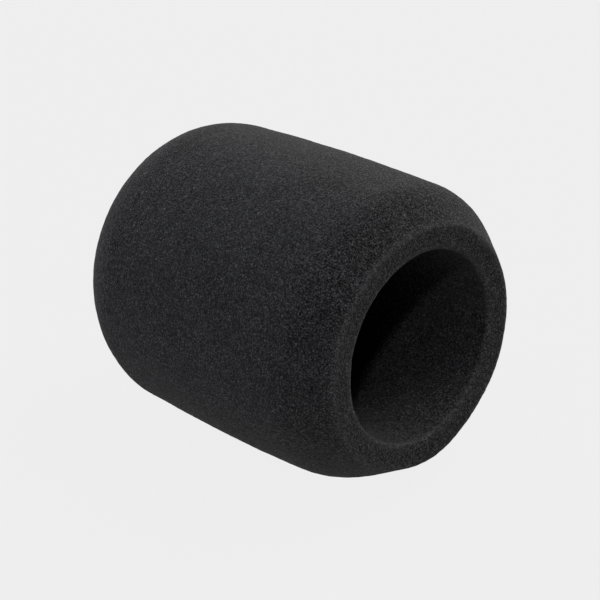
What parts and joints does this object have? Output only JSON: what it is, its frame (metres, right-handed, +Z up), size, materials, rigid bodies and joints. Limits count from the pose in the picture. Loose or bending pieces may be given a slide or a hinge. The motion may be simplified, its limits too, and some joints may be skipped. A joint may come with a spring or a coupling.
{
  "type": "microphone foam windscreen",
  "caption": "Slip-on open-cell foam windscreen for an end-address microphone: barrelled cylinder with a rounded closed end, a chamfered mouth and a wide blind bore.",
  "frame": {"origin": "centre of the open mouth, on the bore's axis, where the microphone's head enters", "axes": "+Y along the bore's axis out of the mouth, towards the microphone's body; the closed address end faces -Y; +Z up, with the windscreen level as on a level microphone"},
  "size_m": [0.09, 0.104, 0.09],
  "materials": {
    "sleeve_foam": "open-cell polyurethane foam, carbon black, matte, turned to shape so that cut pores show",
    "plug_foam": "open-cell polyurethane foam, carbon black, matte, turned together with the sleeve",
    "cured_adhesive": "cured black contact adhesive soaked into cut foam, satin"
  },
  "bodies": {
    "root": {"foam_sleeve": "sleeve_foam", "end_plug": "plug_foam", "plug_bond_film": "cured_adhesive"}
  },
  "joints": []
}
